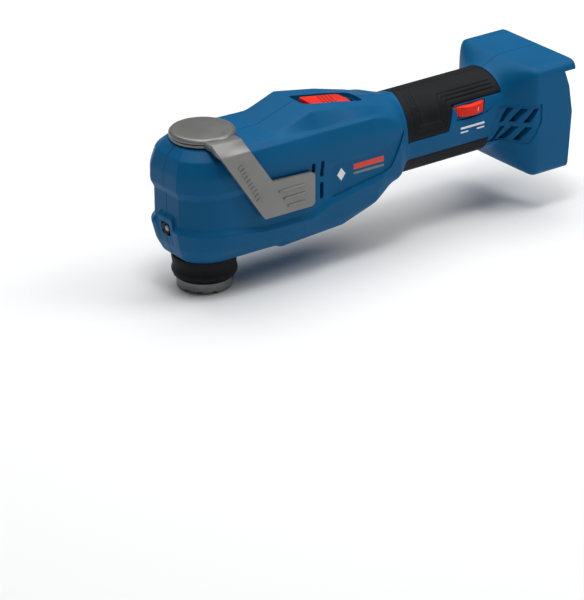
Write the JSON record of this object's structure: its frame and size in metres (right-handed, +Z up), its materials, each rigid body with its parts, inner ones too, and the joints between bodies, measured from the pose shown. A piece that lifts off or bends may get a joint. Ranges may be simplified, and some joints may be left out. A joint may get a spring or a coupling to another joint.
{
  "type": "oscillating multi tool",
  "caption": "Cordless oscillating multi tool with a quick-clamp lever over the spindle, slide switch, speed dial, overmoulded grip and an open battery foot.",
  "frame": {"origin": "under the middle of the tool's box, on the plane of the tool holder's lower face; the vertical spindle axis is at x = -0.1169, y = 0", "axes": "+X from the spindle back to the battery foot, +Y to the tool's right side, +Z up along the spindle; the lever arm lies on the -Y side"},
  "size_m": [0.2922, 0.077, 0.104],
  "materials": {
    "blue_plastic": "fine-textured moulded blue",
    "black_rubber": "soft overmould",
    "black_plastic": "moulded black",
    "red_plastic": "satin red",
    "satin_nickel": "satin grey metal",
    "ground_steel": "ground",
    "cast_aluminium": "die cast",
    "copper_wire": "enamelled copper windings",
    "coated_magnet": "epoxy coated",
    "plated_brass": "plated contacts",
    "circuit_board": "solder mask",
    "clear_lens": "clear lens"
  },
  "bodies": {
    "housing": {"left_housing_shell": "blue_plastic", "right_housing_shell": "blue_plastic", "upper_grip_left": "black_rubber", "upper_grip_right": "black_rubber", "lower_grip_left": "black_rubber", "lower_grip_right": "black_rubber", "gear_case": "cast_aluminium", "collar_boot": "black_rubber", "spindle_lower_bearing": "ground_steel", "spindle_upper_bearing": "ground_steel", "upper_bearing_plate": "cast_aluminium", "stator_core": "ground_steel", "stator_winding_front": "copper_wire", "stator_winding_rear": "copper_wire", "motor_front_bearing": "ground_steel", "motor_rear_bearing": "ground_steel", "motor_mount": "cast_aluminium", "rear_bearing_bracket": "black_plastic", "switch_body": "black_plastic", "control_module": "circuit_board", "speed_potentiometer": "black_plastic", "lamp_lens": "clear_lens", "lamp_board": "circuit_board", "battery_bay_plate": "black_plastic", "guide_rail_left": "black_plastic", "guide_rail_right": "black_plastic", "terminal_block": "black_plastic", "contact_negative": "plated_brass", "contact_signal": "plated_brass", "contact_positive": "plated_brass", "housing_screw_1": "ground_steel", "housing_screw_2": "ground_steel", "housing_screw_3": "ground_steel", "housing_screw_4": "ground_steel", "housing_screw_5": "ground_steel", "housing_screw_6": "ground_steel"},
    "lever": {"lever_cap": "satin_nickel", "clamp_lever": "satin_nickel", "release_cam": "ground_steel"},
    "spindle_unit": {"spindle": "ground_steel", "tool_holder": "satin_nickel", "oscillating_fork": "ground_steel", "clamp_spring": "ground_steel"},
    "clamp_unit": {"clamp_rod": "ground_steel"},
    "jaw_front": {"clamp_jaw_front": "ground_steel"},
    "jaw_rear": {"clamp_jaw_rear": "ground_steel"},
    "rotor_unit": {"rotor": "coated_magnet", "motor_shaft": "ground_steel", "eccentric_bearing": "ground_steel", "counterweight": "ground_steel", "cooling_fan": "black_plastic"},
    "switch_button": {"slide_button": "red_plastic"},
    "dial": {"speed_dial": "red_plastic"}
  },
  "joints": [
    {"name": "lever_turn", "type": "hinge", "parent": "housing", "child": "lever", "pos_m": [-0.1169, 0, 0.0971], "axis": [0, 0, -1], "range_deg": [0, 100]},
    {"name": "spindle_oscillation", "type": "hinge", "parent": "housing", "child": "spindle_unit", "pos_m": [-0.1169, 0, 0.05], "axis": [0, 0, 1], "range_deg": [-1.8, 1.8]},
    {"name": "clamp_release", "type": "slide", "parent": "spindle_unit", "child": "clamp_unit", "axis": [0, 0, -1], "range_m": [0, 0.0026], "deforming": ["clamp_spring"]},
    {"name": "jaw_front_swing", "type": "hinge", "parent": "clamp_unit", "child": "jaw_front", "pos_m": [-0.1205, 0, 0.029], "axis": [0, -1, 0], "range_deg": [0, 4]},
    {"name": "jaw_rear_swing", "type": "hinge", "parent": "clamp_unit", "child": "jaw_rear", "pos_m": [-0.1133, 0, 0.029], "axis": [0, 1, 0], "range_deg": [0, 4]},
    {"name": "rotor_spin", "type": "hinge", "parent": "housing", "child": "rotor_unit", "pos_m": [-0.0649, 0, 0.062], "axis": [1, 0, 0], "continuous": true},
    {"name": "switch_slide", "type": "slide", "parent": "housing", "child": "switch_button", "axis": [-0.9863, 0, 0.165], "range_m": [0, 0.006]},
    {"name": "speed_dial_turn", "type": "hinge", "parent": "housing", "child": "dial", "pos_m": [0.0737, -0.01, 0.073], "axis": [0, 0, 1], "range_deg": [0, 270]}
  ],
  "couplings": [
    {"joint": "clamp_release", "follows": "lever_turn", "m_per_rad": 0.0014897},
    {"joint": "jaw_front_swing", "follows": "lever_turn", "ratio": 0.04},
    {"joint": "jaw_rear_swing", "follows": "lever_turn", "ratio": 0.04}
  ]
}
